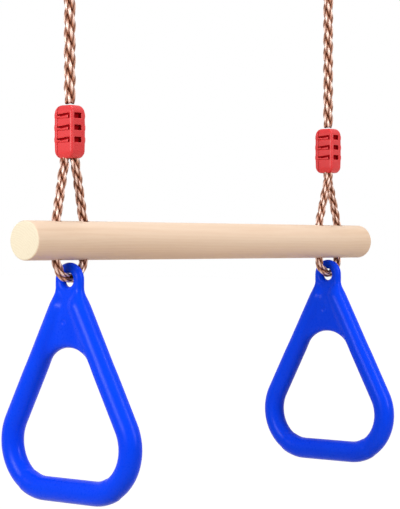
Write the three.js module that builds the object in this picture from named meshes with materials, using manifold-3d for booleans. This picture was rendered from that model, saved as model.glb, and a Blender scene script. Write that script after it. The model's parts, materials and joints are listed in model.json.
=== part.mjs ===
// A trapeze bar: a round wooden bar on two ropes, each gathered in a plastic clip, with a triangular plastic
// handle hanging on a rope loop under each end of the bar.
// Millimetres. The bar lies along X, +Z is up, and the origin is midway between the places where the two
// steel rings hang.
import * as THREE from "three";
import { mergeVertices } from "three/addons/utils/BufferGeometryUtils.js";
import Module from "manifold-3d";

const wasm = await Module();
wasm.setup();

// Driving dimensions
const fit = 0.3; // the gap left where two pieces touch
const overrun = 2; // how far a cutting shape runs past what it cuts

const barLength = 510;
const barDiameter = 34;
const barEdge = 1.6; // rounding of the bar's end edges
const ropeInset = 56.7; // from each end of the bar to its rope
const ropeSpacing = barLength - 2 * ropeInset; // between the two ropes, along the bar
const holeSpacing = 34.4; // between the two holes of one rope
const holeClearance = 0.7; // between a rope and its hole in the bar

const loopRope = 8.6; // rope diameter in the loops
const riserRope = 10.4; // the twisted pair above a clip
const riserNeck = 9; // the same pair where a clip's mouth squeezes it
const riserLength = 136; // between the two points a riser bends at
const loopBottom = 32.8; // from the bar's middle down to the rope's middle at the lowest point of a loop
const topLoopRise = 50; // from the top clip up to the rope's middle at the highest point of the top loop

const clipRise = 71; // from the bar's middle up to the clip
const clipTall = 46;
const clipWide = 17.5; // along the bar
const clipDeep = 21; // across the bar
const clipCorner = 4;
const shoulderTall = 6;
const shoulderIn = 3.4;
const endWall = 6; // plastic above and below the clamped rope
const clampWide = 11.6; // the two ropes squeezed together inside a clip
const clampDeep = 12.4;
const clampCorner = 3;
const footWide = 8; // the same two ropes in the clip's wide mouth
const footDeep = 10.4;
const slotRise = 3.5; // the middle slot, above the clip's middle
const slotPitch = 10.4;
const slotTall = 4.8;
const slotTallAtJoint = 2.1;
const slotEnd = 3; // from the clip's corner to the closed end of a slot
const windowWide = 9;
const windowTall = 4.6;
const windowShift = 1.2;
const prongProud = 1;
const prongThick = 2.4;
const prongLong = 3.4;
const prongTall = 1.5;

const eyeHole = 11.8;
const eyeHalfThick = 4.7;
const eyeWall = 9.4; // from the eye's hole out to its edge
const eyeRound = 3.2;
const neckDrop = 34; // from the eye's middle down to where the neck is lost in the web
const limbRadius = 10.2;
const limbTopHalf = 10.65; // from the handle's middle line to the top end of a limb
const limbTopDrop = 23; // from the eye's middle down to the top end of a limb
const gripDrop = 183.3; // from the eye's middle down to the middle of the grip
const gripHalf = 29.4; // half the grip's straight length
const gripRadius = 10.8;
const gripTurn = Math.PI / 6; // how far the thicker grip follows each lower corner
const cornerRadius = 39.85;
const windowDrop = 59.1; // from the eye's middle down to the top of the handle's opening
const webHalfThick = 7.5;
const webRound = 2.5;

const ringWire = 6;
const ringInner = 38;

// Counts
const ropeSides = 8;
const loopSteps = 32;
const limbSides = 12;
const cornerSteps = 9;
const gripTurnSteps = 2;
const barSides = 32;
const holeSides = 12;
const ringSteps = 24;
const eyeSides = 24;
const slotCount = 3;

// A loop's route by the middle of the rope: across to the bar's middle, across the bar, up from the bar's middle.
// One arm runs from the clip, down through the bar and round to the lowest point.
const loopArm = [
  [3.3, -3, 70.5],
  [3.33, -3, 68.8],
  [3.75, -2.9, 66],
  [4.75, -2.68, 63],
  [6.1, -2.4, 59.5],
  [8.6, -1.86, 50],
  [11.25, -1.29, 40],
  [13.9, -0.71, 30],
  [15.5, -0.37, 24],
  [16.35, -0.17, 20.7],
  [17.0, -0.04, 17.5],
  [17.2, 0, 14.3],
  [17.2, 0, 4],
  [17.2, 0, -6],
  [17.2, 0, -15.6],
  [15.89, 0, -22.18],
  [12.16, 0, -27.76],
  [6.58, 0, -31.49],
];
const loopLowest = [0, 0, -32.8];

// The top loop's route, up from the top clip: one arm to the highest point.
const topArm = [
  [3.3, -3, 0.5],
  [3.3, -3.05, 2],
  [3.1, -4, 4.8],
  [2.6, -6.1, 8.6],
  [1.9, -9.2, 14],
  [1.2, -12.3, 20],
  [0.5, -15.2, 26],
  [0.1, -16.9, 31],
  [0, -16.6, 37],
  [0, -13.8, 43.1],
  [0, -7.7, 48.2],
];
const topHighest = [0, 0, 50];

// Places worked out from the sizes
const clipMiddle = clipRise + clipTall / 2;
const riserFoot = clipRise + clipTall + fit + riserNeck / 2;
const riserHead = riserFoot + riserLength;
const topClipFoot = riserHead + riserNeck / 2 + fit;
const topClipMiddle = topClipFoot + clipTall / 2;
const topClipHead = topClipFoot + clipTall;
const ringSeat = topClipHead + topLoopRise - loopRope / 2 - fit;
const hangHeight = ringSeat + ringInner;
const eyeDrop = eyeHole / 2 - loopRope / 2 - fit;

// Materials
const paint = (color, roughness, metalness) =>
  new THREE.MeshStandardMaterial({ color, roughness, metalness, flatShading: true });
const wood = paint("#e6cda6", 0.6, 0);
const bluePlastic = paint("#0540f0", 0.3, 0);
const redPlastic = paint("#e6323a", 0.35, 0);
const ropeYarn = paint("#b0765a", 0.7, 0);
const steel = paint("#c8cacc", 0.3, 1);

// A closed three.js geometry as a solid that can be joined and cut.
function solidOf(geometry) {
  const bare = new THREE.BufferGeometry();
  bare.setAttribute("position", geometry.getAttribute("position").clone());
  bare.setIndex(geometry.getIndex());
  const merged = mergeVertices(bare);
  const triVerts = new Uint32Array(merged.getIndex().array);
  const vertProperties = merged.getAttribute("position").array;
  return new wasm.Manifold(new wasm.Mesh({ numProp: 3, vertProperties, triVerts }));
}

const joined = (...geometries) =>
  geometries.map(solidOf).reduce((whole, piece) => whole.add(piece));

function geometryOf(solid) {
  const made = solid.getMesh();
  const geometry = new THREE.BufferGeometry();
  geometry.setAttribute("position", new THREE.BufferAttribute(made.vertProperties, 3));
  geometry.setIndex(new THREE.BufferAttribute(made.triVerts, 1));
  geometry.computeVertexNormals();
  return geometry;
}

function meshOf(name, solid, material) {
  const mesh = new THREE.Mesh(geometryOf(solid), material);
  mesh.name = name;
  return mesh;
}

// A path that passes through the given points and nowhere else, so an extrusion has one ring at each.
class Stations extends THREE.Curve {
  constructor(points) {
    super();
    this.points = points;
  }
  getPoint(t, target = new THREE.Vector3()) {
    const last = this.points.length - 1;
    const before = Math.min(Math.floor(t * last), last - 1);
    return target.lerpVectors(this.points[before], this.points[before + 1], t * last - before);
  }
  getPointAt(u, target) {
    return this.getPoint(u, target);
  }
  getTangentAt(u, target = new THREE.Vector3()) {
    const last = this.points.length - 1;
    const here = Math.round(u * last);
    const toHere = this.points[here].clone().sub(this.points[Math.max(here - 1, 0)]).normalize();
    const onward = this.points[Math.min(here + 1, last)].clone().sub(this.points[here]).normalize();
    return target.addVectors(toHere, onward).normalize();
  }
}

function roundSection(radius, sides) {
  const corners = Array.from({ length: sides }, (_, side) => {
    const turn = ((side + 0.5) / sides) * 2 * Math.PI;
    return new THREE.Vector2(radius * Math.cos(turn), radius * Math.sin(turn));
  });
  return new THREE.Shape(corners);
}

function tubeAlong(path, steps, radius, sides) {
  return new THREE.ExtrudeGeometry(roundSection(radius, sides), { steps, extrudePath: path });
}

function roundedRectangle(wide, deep, corner) {
  const x = wide / 2;
  const y = deep / 2;
  const shape = new THREE.Shape();
  shape.absarc(x - corner, y - corner, corner, 0, Math.PI / 2);
  shape.absarc(corner - x, y - corner, corner, Math.PI / 2, Math.PI);
  shape.absarc(corner - x, corner - y, corner, Math.PI, 1.5 * Math.PI);
  shape.absarc(x - corner, corner - y, corner, 1.5 * Math.PI, 2 * Math.PI);
  shape.closePath();
  return shape;
}

// An upright block of the given outline, from one height to another.
function block(shape, low, high, curveSegments) {
  const settings = { depth: high - low, bevelEnabled: false, curveSegments };
  return new THREE.ExtrudeGeometry(shape, settings).translate(0, 0, low);
}

function box(lowX, highX, lowY, highY, lowZ, highZ) {
  const geometry = new THREE.BoxGeometry(highX - lowX, highY - lowY, highZ - lowZ);
  return geometry.translate((lowX + highX) / 2, (lowY + highY) / 2, (lowZ + highZ) / 2);
}

// Turns a shape drawn in X and Y, and extruded along Z, to lie in Y and Z with its thickness along X.
const acrossTheBar = new THREE.Matrix4().set(0, 0, 1, 0, 1, 0, 0, 0, 0, 1, 0, 0, 0, 0, 0, 1);

// A flat piece with rounded edges, drawn in Y and Z and centred on X.
function plate(shape, halfThick, round, curveSegments) {
  const geometry = new THREE.ExtrudeGeometry(shape, {
    depth: 2 * (halfThick - round),
    bevelThickness: round,
    bevelSize: round,
    bevelOffset: -round,
    bevelSegments: 2,
    curveSegments,
  });
  return geometry.translate(0, 0, round - halfThick).applyMatrix4(acrossTheBar);
}

// The wooden bar, turned on its own axis and drilled for the ropes
function woodenBar() {
  const end = barLength / 2;
  const inside = barDiameter / 2 - barEdge;
  const roundedEdge = (turns) =>
    turns.map((turn) => [inside + barEdge * Math.sin(turn), end - barEdge + barEdge * Math.cos(turn)]);
  const edge = roundedEdge([0, Math.PI / 6, Math.PI / 3, Math.PI / 2]);
  const profile = [
    new THREE.Vector2(0, -end),
    ...edge.map(([across, along]) => new THREE.Vector2(across, -along)),
    ...edge.toReversed().map(([across, along]) => new THREE.Vector2(across, along)),
    new THREE.Vector2(0, end),
  ];
  let bar = solidOf(new THREE.LatheGeometry(profile, barSides).rotateZ(-Math.PI / 2));
  const holeRadius = loopRope / 2 + holeClearance;
  for (const side of [-1, 1]) {
    for (const arm of [-1, 1]) {
      const x = (side * ropeSpacing) / 2 + (arm * holeSpacing) / 2;
      const drill = new THREE.CylinderGeometry(holeRadius, holeRadius, barDiameter + 2 * overrun, holeSides);
      bar = bar.subtract(solidOf(drill.rotateX(Math.PI / 2).translate(x, 0, 0)));
    }
  }
  return bar;
}

// A rope loop from its two arms, which are turned half a turn from each other
function ropeLoop(arm, turningPoint, towardMiddle) {
  const oneArm = arm.map(([x, y, z]) => new THREE.Vector3(towardMiddle * x, y, z));
  const otherArm = arm.map(([x, y, z]) => new THREE.Vector3(-towardMiddle * x, -y, z));
  const points = [...oneArm, new THREE.Vector3(...turningPoint), ...otherArm.toReversed()];
  const path = new THREE.CatmullRomCurve3(points, false, "centripetal");
  return solidOf(tubeAlong(path, loopSteps, loopRope / 2, ropeSides));
}

// The straight stretch between two clips, narrowed to a ball end at each, where it bends
function riser() {
  const shoulder = riserRope / 2 - riserNeck / 4;
  const foot = new THREE.Vector3(0, 0, shoulder);
  const head = new THREE.Vector3(0, 0, riserLength - shoulder);
  const between = [0.25, 0.5, 0.75].map((share) => foot.clone().lerp(head, share));
  const stations = new Stations([foot, ...between, head]);
  const ball = () => new THREE.SphereGeometry(riserNeck / 2, ropeSides, ropeSides / 2);
  return joined(
    tubeAlong(stations, between.length + 1, riserRope / 2, ropeSides),
    ball().rotateX(Math.PI / 2),
    ball().rotateX(Math.PI / 2).translate(0, 0, riserLength),
  );
}

// The clip's local frame has its origin in the clip's middle, with the narrow mouth at the top.
const clampTop = clipTall / 2 - endWall;

function clampedRope() {
  const stub = roundSection(riserNeck / 2 - fit, ropeSides);
  const lug = roundedRectangle(footWide, footDeep, clampCorner);
  return joined(
    block(roundedRectangle(clampWide, clampDeep, clampCorner), -clampTop, clampTop, 2),
    block(stub, clampTop - overrun, clipTall / 2, 1),
    block(lug, -clipTall / 2, overrun - clampTop, 2),
  );
}

function clampHollow() {
  const wide = clampWide + 2 * fit;
  const deep = clampDeep + 2 * fit;
  const past = clipTall / 2 + overrun;
  return joined(
    block(roundedRectangle(wide, deep, clampCorner), -clampTop - fit, clampTop + fit, 2),
    block(roundSection(riserNeck / 2 + fit, ropeSides), clampTop - overrun, past, 1),
    block(roundedRectangle(footWide + 2 * fit, footDeep + 2 * fit, clampCorner), -past, overrun - clampTop, 2),
  );
}

// The outline of one half, looking down: the wall on the -Y side, the wall on the -X side, and the end walls as
// far as a line from corner to corner. The other half is the same piece turned half a turn.
function halfOutline() {
  const far = clipDeep + overrun;
  const jointX = clampWide / 2 + fit;
  const jointY = clampDeep / 2 + fit;
  const corners = [
    [-far, -far],
    [far, -far],
    [far, -jointY],
    [jointX, -jointY],
    [-jointX, jointY],
    [-far, jointY],
  ];
  return new THREE.Shape(corners.map(([x, y]) => new THREE.Vector2(x - fit / 2, y - fit / 2)));
}

function clipHalf() {
  const body = new THREE.ExtrudeGeometry(roundedRectangle(clipWide, clipDeep, clipCorner), {
    depth: clipTall - 2 * shoulderTall,
    bevelThickness: shoulderTall,
    bevelSize: shoulderIn,
    bevelOffset: -shoulderIn,
    bevelSegments: 3,
    curveSegments: 2,
  });
  body.translate(0, 0, shoulderTall - clipTall / 2);
  const past = clipTall / 2 + overrun;
  let half = solidOf(body).intersect(solidOf(block(halfOutline(), -past, past, 1)));
  half = half.subtract(clampHollow());
  const jointY = clampDeep / 2 + fit;
  for (let slot = 0; slot < slotCount; slot += 1) {
    const z = slotRise + (slot - (slotCount - 1) / 2) * slotPitch;
    half = half.subtract(solidOf(slotCut(jointY).translate(0, 0, z)));
    const middle = -windowShift;
    const opening = box(
      middle - windowWide / 2,
      middle + windowWide / 2,
      -clipDeep / 2 - overrun,
      0,
      z - windowTall / 2,
      z + windowTall / 2,
    );
    half = half.subtract(solidOf(opening)).add(solidOf(prong(jointY).translate(0, 0, z)));
  }
  return half;
}

// A slot through the -X wall, whose upper edge falls towards the joint on the +Y side
function slotCut(jointY) {
  const closedEnd = slotEnd - clipDeep / 2;
  const openEnd = jointY + overrun;
  const low = -slotTall / 2;
  const outline = new THREE.Shape([
    new THREE.Vector2(closedEnd, low),
    new THREE.Vector2(openEnd, low),
    new THREE.Vector2(openEnd, low + slotTallAtJoint),
    new THREE.Vector2(closedEnd, low + slotTall),
  ]);
  const deep = clipWide / 2 + overrun;
  const cut = new THREE.ExtrudeGeometry(outline, { depth: deep, bevelEnabled: false });
  return cut.translate(0, 0, -deep).applyMatrix4(acrossTheBar);
}

// A prong of this half, which lies in a slot of the other one, seen at the +X end of the -Y wall
function prong(jointY) {
  const outer = clipWide / 2 + prongProud;
  const low = (slotTallAtJoint - prongTall) / 2 - slotTall / 2;
  const root = -jointY - overrun;
  return box(outer - prongThick, outer, root, prongLong - jointY, low, low + prongTall);
}

// The handle, with its origin where the middle of the rope passes through the eye
function handle() {
  const eyeZ = -eyeDrop;
  const limbTop = new THREE.Vector2(limbTopHalf, eyeZ - limbTopDrop);
  const gripZ = eyeZ - gripDrop;
  const cornerMiddle = new THREE.Vector2(gripHalf, gripZ + cornerRadius);
  const toLimbTop = limbTop.clone().sub(cornerMiddle);
  const slant = toLimbTop.angle() - Math.acos(cornerRadius / toLimbTop.length());
  const onCorner = (turn) =>
    new THREE.Vector3(
      0,
      cornerMiddle.x + cornerRadius * Math.cos(turn),
      cornerMiddle.y + cornerRadius * Math.sin(turn),
    );
  const down = -Math.PI / 2;

  const limbLine = [new THREE.Vector3(0, -overrun, gripZ)];
  for (let step = 0; step <= cornerSteps; step += 1) {
    limbLine.push(onCorner(down + ((slant - down) * step) / cornerSteps));
  }
  limbLine.push(new THREE.Vector3(0, limbTop.x, limbTop.y));
  const limb = () => tubeAlong(new Stations(limbLine), limbLine.length - 1, limbRadius, limbSides);
  const knob = () => new THREE.SphereGeometry(limbRadius, limbSides, limbSides / 2);

  const gripLine = [];
  for (let step = gripTurnSteps; step >= 0; step -= 1) {
    gripLine.push(onCorner(down + (gripTurn * step) / gripTurnSteps));
  }
  const farEnd = gripLine.toReversed().map((point) => new THREE.Vector3(0, -point.y, point.z));
  const gripPath = new Stations([...gripLine, ...farEnd]);
  const grip = tubeAlong(gripPath, gripLine.length + farEnd.length - 1, gripRadius, limbSides);

  const body = joined(
    limb(),
    limb().rotateZ(Math.PI),
    knob().translate(0, limbTop.x, limbTop.y),
    knob().translate(0, -limbTop.x, limbTop.y),
    grip,
    plate(neckOutline(eyeZ), eyeHalfThick, eyeRound, eyeSides / 2),
    plate(webOutline(eyeZ, limbTop, slant), webHalfThick, webRound, cornerSteps),
  );
  const ringRadius = eyeHole / 2 + eyeWall / 2;
  const deep = 2 * (eyeHalfThick + overrun);
  const drill = new THREE.CylinderGeometry(ringRadius, ringRadius, deep, eyeSides);
  const eye = new THREE.TorusGeometry(ringRadius, eyeHalfThick, ropeSides, eyeSides);
  return body
    .subtract(solidOf(drill.rotateZ(Math.PI / 2).translate(0, 0, eyeZ)))
    .add(solidOf(eye.rotateY(Math.PI / 2).translate(0, 0, eyeZ)));
}

function neckOutline(eyeZ) {
  const half = eyeHole / 2 + eyeWall;
  const shape = new THREE.Shape();
  shape.moveTo(half, eyeZ - neckDrop);
  shape.lineTo(half, eyeZ);
  shape.absarc(0, eyeZ, half, 0, Math.PI);
  shape.lineTo(-half, eyeZ - neckDrop);
  return shape;
}

// The web between the limbs: its sides run along the limbs' middle lines, and its lower edge is an arch that
// meets the inner side of each limb.
function webOutline(eyeZ, limbTop, slant) {
  const windowZ = eyeZ - windowDrop;
  const sine = Math.sin(slant);
  const cosine = Math.cos(slant);
  const archRadius = ((limbTop.y - windowZ) * sine + limbTop.x * cosine - limbRadius) / (1 - sine);
  const archZ = windowZ - archRadius;
  const toLimb = archRadius + limbRadius;
  const shape = new THREE.Shape();
  shape.moveTo(-limbTop.x, limbTop.y);
  shape.lineTo(-toLimb * cosine, archZ + toLimb * sine);
  shape.absarc(0, archZ, archRadius, Math.PI - slant, slant, true);
  shape.lineTo(toLimb * cosine, archZ + toLimb * sine);
  shape.lineTo(limbTop.x, limbTop.y);
  shape.closePath();
  return shape;
}

// A welded ring, in the plane of the bar
function hangingRing() {
  const ring = new THREE.TorusGeometry((ringInner + ringWire) / 2, ringWire / 2, ropeSides, ringSteps);
  return solidOf(ring.rotateX(Math.PI / 2));
}

// Assembly: the bar's middle hangs this far under the origin
const hung = new THREE.Group();
hung.position.z = -hangHeight;
hung.add(meshOf("wooden_bar", woodenBar(), wood));

for (const [side, towardMiddle] of [
  ["left", 1],
  ["right", -1],
]) {
  const line = new THREE.Group();
  line.position.x = (-towardMiddle * ropeSpacing) / 2;
  hung.add(line);

  const loopNode = meshOf(side + "_rope_loop", ropeLoop(loopArm, loopLowest, towardMiddle), ropeYarn);
  const riserNode = meshOf(side + "_rope_riser", riser(), ropeYarn);
  riserNode.position.z = riserFoot;
  const handleNode = meshOf(side + "_handle", handle(), bluePlastic);
  handleNode.position.z = -loopBottom;
  line.add(loopNode, riserNode, handleNode);

  const lowerClip = clipGroup(side + "_clip", side + "_rope_in_clip");
  lowerClip.position.z = clipMiddle;
  const topClip = clipGroup(side + "_top_clip", side + "_rope_in_top_clip");
  topClip.position.z = topClipMiddle;
  topClip.rotation.x = Math.PI;
  line.add(lowerClip, topClip);

  const topLoop = meshOf(side + "_rope_top_loop", ropeLoop(topArm, topHighest, towardMiddle), ropeYarn);
  topLoop.position.z = topClipHead;
  const ringNode = meshOf(side + "_ring", hangingRing(), steel);
  ringNode.position.z = ringSeat + ringInner / 2;
  line.add(topLoop, ringNode);
}

function clipGroup(clipName, ropeName) {
  const group = new THREE.Group();
  const front = meshOf(clipName + "_front_half", clipHalf(), redPlastic);
  const back = meshOf(clipName + "_back_half", clipHalf(), redPlastic);
  back.rotation.z = Math.PI;
  group.add(front, back, meshOf(ropeName, clampedRope(), ropeYarn));
  return group;
}

const trapeze = new THREE.Group();
trapeze.add(hung);
export default trapeze;
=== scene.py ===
import json
import math

import bmesh
import bpy
from mathutils import Matrix, Vector
from mathutils.geometry import interpolate_bezier


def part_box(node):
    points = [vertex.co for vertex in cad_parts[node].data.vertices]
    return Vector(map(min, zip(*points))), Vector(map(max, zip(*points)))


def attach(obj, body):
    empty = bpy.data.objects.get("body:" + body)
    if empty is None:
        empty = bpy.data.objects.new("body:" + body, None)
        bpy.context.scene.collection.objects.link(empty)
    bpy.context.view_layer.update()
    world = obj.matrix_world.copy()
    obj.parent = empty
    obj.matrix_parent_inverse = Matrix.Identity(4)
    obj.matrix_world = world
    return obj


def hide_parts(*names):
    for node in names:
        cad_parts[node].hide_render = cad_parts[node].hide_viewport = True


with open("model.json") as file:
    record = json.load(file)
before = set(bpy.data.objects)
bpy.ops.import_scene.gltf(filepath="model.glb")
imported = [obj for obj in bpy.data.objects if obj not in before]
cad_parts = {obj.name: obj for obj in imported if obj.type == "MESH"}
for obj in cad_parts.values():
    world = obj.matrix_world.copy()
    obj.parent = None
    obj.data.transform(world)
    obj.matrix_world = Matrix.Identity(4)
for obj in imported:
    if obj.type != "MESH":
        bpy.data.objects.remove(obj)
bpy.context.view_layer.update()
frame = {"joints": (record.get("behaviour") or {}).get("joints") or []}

MM = 0.001
FIT = 0.3 * MM  # the gap left where two pieces touch

# Places taken from the frame
bar_low, bar_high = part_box("wooden_bar")
bar_middle = (bar_low + bar_high) / 2
bar_radius = (bar_high.z - bar_low.z) / 2
pivots = {joint["name"]: Vector(joint["pos_m"]) for joint in frame["joints"]}
left_x = pivots["left_handle_swing"].x
rope_x = {"left": left_x, "right": -left_x}
toward_middle = {"left": 1, "right": -1}
riser_foot = pivots["bar_level"].z
riser_head = pivots["sway"].z
clip_low, clip_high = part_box("left_clip_front_half")
top_clip_low, top_clip_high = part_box("left_top_clip_front_half")
ring_low, ring_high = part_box("left_ring")

# Ropes
LOOP_ROPE = 8.6 * MM
RISER_ROPE = 10.4 * MM
LAY_PER_DIAMETER = 4.4  # the length in which a strand goes once round the rope
YARN_TURN_PER_DIAMETER = 2.7  # the length in which a yarn goes once round its strand, the other way
STRANDS = 3
YARNS = 3
POINTS_PER_YARN = 12
YARN_GROOVE = 0.26  # depth of the groove between two yarns, as a share of the strand's radius
STRAND_SHARE = 0.245  # a strand's radius, as a share of the rope's diameter
STRAND_MIDDLE_SHARE = 0.275  # from the rope's middle to a strand's middle, likewise
ROPE_STEP = 1.2 * MM
MOUTH_TAPER = 9 * MM
RISER_IN_MOUTH = 3 * MM  # how far a riser reaches past its bending point, which leaves it room to sway
CRUSHED_ROPE = 15 * MM  # the rope in a clip, before it is pressed into the hollow


def srgb(red, green, blue):
    """A colour written as on a screen, 0 to 255, as the shader's own values."""
    values = []
    for part in (red, green, blue):
        share = part / 255
        values.append(share / 12.92 if share <= 0.04045 else ((share + 0.055) / 1.055) ** 2.4)
    return (*values, 1.0)


# Camera: the photograph's place and angle, fitted to the bar's two ends
CAMERA_PLACE = Vector((-1.3327, -1.0411, -0.3965))
CAMERA_YAW = Vector((0.78426, 0.62041, 0))
CAMERA_DIP = math.radians(0.282)
CAMERA_LENS = 125.43


def place_camera():
    camera = bpy.data.objects.new("camera", bpy.data.cameras.new("camera"))
    bpy.context.scene.collection.objects.link(camera)
    camera.data.lens = CAMERA_LENS
    camera.data.sensor_width = 36
    camera.data.clip_start = 0.01
    camera.data.clip_end = 100
    look = CAMERA_YAW * math.cos(CAMERA_DIP) - Vector((0, 0, math.sin(CAMERA_DIP)))
    camera.location = CAMERA_PLACE
    camera.rotation_euler = look.to_track_quat("-Z", "Y").to_euler()
    bpy.context.scene.camera = camera


place_camera()


# Meshes: a ring of edges carried through a list of places, and pieces made from what it leaves
def sweep(bm, ring, places, closed=False, along=None):
    """Extrudes a ring of edges from place to place. Each place is a matrix that takes the ring from where it was
    drawn. along is the name of a layer that keeps the distance of each place."""
    verts = list({vert for edge in ring for vert in edge.verts})
    first = list(verts)
    first_ring = list(ring)
    bmesh.ops.transform(bm, matrix=places[0][1], verts=verts)
    if along:
        for vert in verts:
            vert[along] = places[0][0]
    for before, here in zip(places, places[1:]):
        made = bmesh.ops.extrude_edge_only(bm, edges=ring)["geom"]
        verts = [part for part in made if isinstance(part, bmesh.types.BMVert)]
        ring = [part for part in made if isinstance(part, bmesh.types.BMEdge)]
        bmesh.ops.transform(bm, matrix=here[1] @ before[1].inverted(), verts=verts)
        if along:
            for vert in verts:
                vert[along] = here[0]
    if closed:
        bmesh.ops.bridge_loops(bm, edges=first_ring + ring)
    else:
        bmesh.ops.contextual_create(bm, geom=first_ring)
        bmesh.ops.contextual_create(bm, geom=ring)
    return first, verts


def piece_from(bm, name, smooth_angle=None):
    """A piece with the bmesh's faces, which point outwards and shade smoothly up to the angle."""
    bmesh.ops.recalc_face_normals(bm, faces=bm.faces)
    for face in bm.faces:
        face.smooth = True
    if smooth_angle is not None:
        for edge in bm.edges:
            edge.smooth = edge.is_manifold and edge.calc_face_angle() < smooth_angle
    mesh = bpy.data.meshes.new(name)
    bm.to_mesh(mesh)
    bm.free()
    piece = bpy.data.objects.new(name, mesh)
    bpy.context.scene.collection.objects.link(piece)
    return piece


def finished(piece):
    """Puts what the piece's modifiers make into its mesh."""
    depsgraph = bpy.context.evaluated_depsgraph_get()
    depsgraph.update()
    mesh = bpy.data.meshes.new_from_object(piece.evaluated_get(depsgraph))
    piece.modifiers.clear()
    old = piece.data
    piece.data = mesh
    mesh.name = old.name
    bpy.data.meshes.remove(old)
    return piece


def combine(piece, tool, operation):
    """Cuts the piece with the tool, joins the two or keeps what they share, and removes the tool."""
    modifier = piece.modifiers.new("combine", "BOOLEAN")
    modifier.operation = operation
    modifier.solver = "EXACT"
    modifier.object = tool
    finished(piece)
    bpy.data.meshes.remove(tool.data)
    return piece


def dress(piece, body, material, slot, *nodes):
    piece.data.materials.clear()
    piece.data.materials.append(material)
    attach(piece, body)
    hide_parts(*nodes)
    return piece


# Routes
def smooth_route(points, step):
    """Evenly spaced points on a smooth line through the given ones."""
    points = [Vector(point) for point in points]
    tangents = []
    for here, point in enumerate(points):
        before = points[max(here - 1, 0)]
        after = points[min(here + 1, len(points) - 1)]
        tangents.append((after - before).normalized())
    fine = []
    for here in range(len(points) - 1):
        start, end = points[here], points[here + 1]
        reach = (end - start).length / 3
        fine += interpolate_bezier(start, start + tangents[here] * reach, end - tangents[here + 1] * reach, end, 24)[:-1]
    fine.append(points[-1])
    lengths = [0.0]
    for start, end in zip(fine, fine[1:]):
        lengths.append(lengths[-1] + (end - start).length)
    count = max(2, round(lengths[-1] / step))
    spaced = []
    here = 0
    for number in range(count + 1):
        wanted = lengths[-1] * number / count
        while here < len(fine) - 2 and lengths[here + 1] < wanted:
            here += 1
        share = (wanted - lengths[here]) / max(lengths[here + 1] - lengths[here], 1e-9)
        spaced.append(fine[here].lerp(fine[here + 1], min(max(share, 0), 1)))
    return spaced


def directions(points):
    """The direction of the line at each of its points."""
    last = len(points) - 1
    return [(points[min(i + 1, last)] - points[max(i - 1, 0)]).normalized() for i in range(last + 1)]


def untwisted_sides(line, start_side):
    """A sideways direction at each point, carried along the line without turning about it."""
    ahead = directions(line)
    side = (start_side - ahead[0] * start_side.dot(ahead[0])).normalized()
    sides = [side]
    for before, here in zip(ahead, ahead[1:]):
        side = before.rotation_difference(here) @ side
        side = (side - here * side.dot(here)).normalized()
        sides.append(side)
    return ahead, sides


def standing(origin, side, ahead):
    """The matrix of a place with its Z along the direction ahead and its X along the side."""
    across = ahead.cross(side)
    turned = Matrix((side, across, ahead)).transposed().to_4x4()
    return Matrix.Translation(origin) @ turned


# Laid ropes
def laid_rope(name, route, diameter, thickness):
    """A rope of three strands, each of three yarns twisted the other way. thickness gives the share of the rope's
    diameter at a distance from its start, given the whole length."""
    line = smooth_route(route, ROPE_STEP)
    ahead, sides = untwisted_sides(line, Vector((1, 0, 0)) if abs(directions(line)[0].x) < 0.9 else Vector((0, 1, 0)))
    distances = [0.0]
    for start, end in zip(line, line[1:]):
        distances.append(distances[-1] + (end - start).length)
    long = distances[-1]
    lay = LAY_PER_DIAMETER * diameter
    whole = bmesh.new()
    whole.loops.layers.uv.new("yarn")
    whole.verts.layers.float.new("outer")
    for strand in range(STRANDS):
        middles = []
        for point, forward, side, distance in zip(line, ahead, sides, distances):
            turn = 2 * math.pi * (strand / STRANDS - distance / lay)
            outward = side * math.cos(turn) + forward.cross(side) * math.sin(turn)
            reach = STRAND_MIDDLE_SHARE * diameter * thickness(distance, long)
            middles.append((point + outward * reach, outward, turn))
        strand_ahead = directions([middle for middle, _, _ in middles])
        places = []
        for (middle, outward, turn), forward, distance in zip(middles, strand_ahead, distances):
            side = (outward - forward * outward.dot(forward)).normalized()
            yarn_turn = 2 * math.pi * distance / (YARN_TURN_PER_DIAMETER * diameter) - turn
            size = thickness(distance, long)
            matrix = standing(middle, side, forward) @ Matrix.Rotation(yarn_turn, 4, "Z") @ Matrix.Scale(size, 4)
            places.append((distance, matrix))
        bm = bmesh.new()
        around = bm.verts.layers.float.new("around")
        along = bm.verts.layers.float.new("along")
        segments = YARNS * POINTS_PER_YARN
        drawn = bmesh.ops.create_circle(bm, segments=segments, radius=STRAND_SHARE * diameter)["verts"]
        for vert in drawn:
            angle = math.atan2(vert.co.y, vert.co.x) % (2 * math.pi)
            vert[around] = round(angle / (2 * math.pi) * segments) % segments / segments
            vert.co *= 1 - YARN_GROOVE * (1 - abs(math.sin(YARNS * angle / 2)))
        sweep(bm, list(bm.edges), places, along=along)
        bmesh.ops.recalc_face_normals(bm, faces=bm.faces)
        # How far out on its strand each vertex lies; the rope material paints its pale sheen there.
        outer = bm.verts.layers.float.new("outer")
        for vert in bm.verts:
            middle, outward, _ = middles[round(vert[along] / long * (len(middles) - 1))]
            vert[outer] = (vert.co - middle).dot(outward) / (STRAND_SHARE * diameter)
        strand_uv = bm.loops.layers.uv.new("yarn")
        for face in bm.faces:
            seam = max(vert[around] for vert in face.verts) > 0.9 and len(face.verts) == 4
            for loop in face.loops:
                turned = loop.vert[around]
                if seam and turned < 0.5:
                    turned += 1
                loop[strand_uv].uv = (loop.vert[along] / lay, turned + strand)
        mesh = bpy.data.meshes.new("strand")
        bm.to_mesh(mesh)
        bm.free()
        whole.from_mesh(mesh)
        bpy.data.meshes.remove(mesh)
    return piece_from(whole, name), line, long


def even(distance, long):
    return 1


def squeezed_at_ends(distance, long):
    """The rope narrows where a clip's mouth holds it."""
    share = min(distance, long - distance) / MOUTH_TAPER
    return 0.86 + 0.14 * math.sin(min(share, 1) * math.pi / 2)


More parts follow.
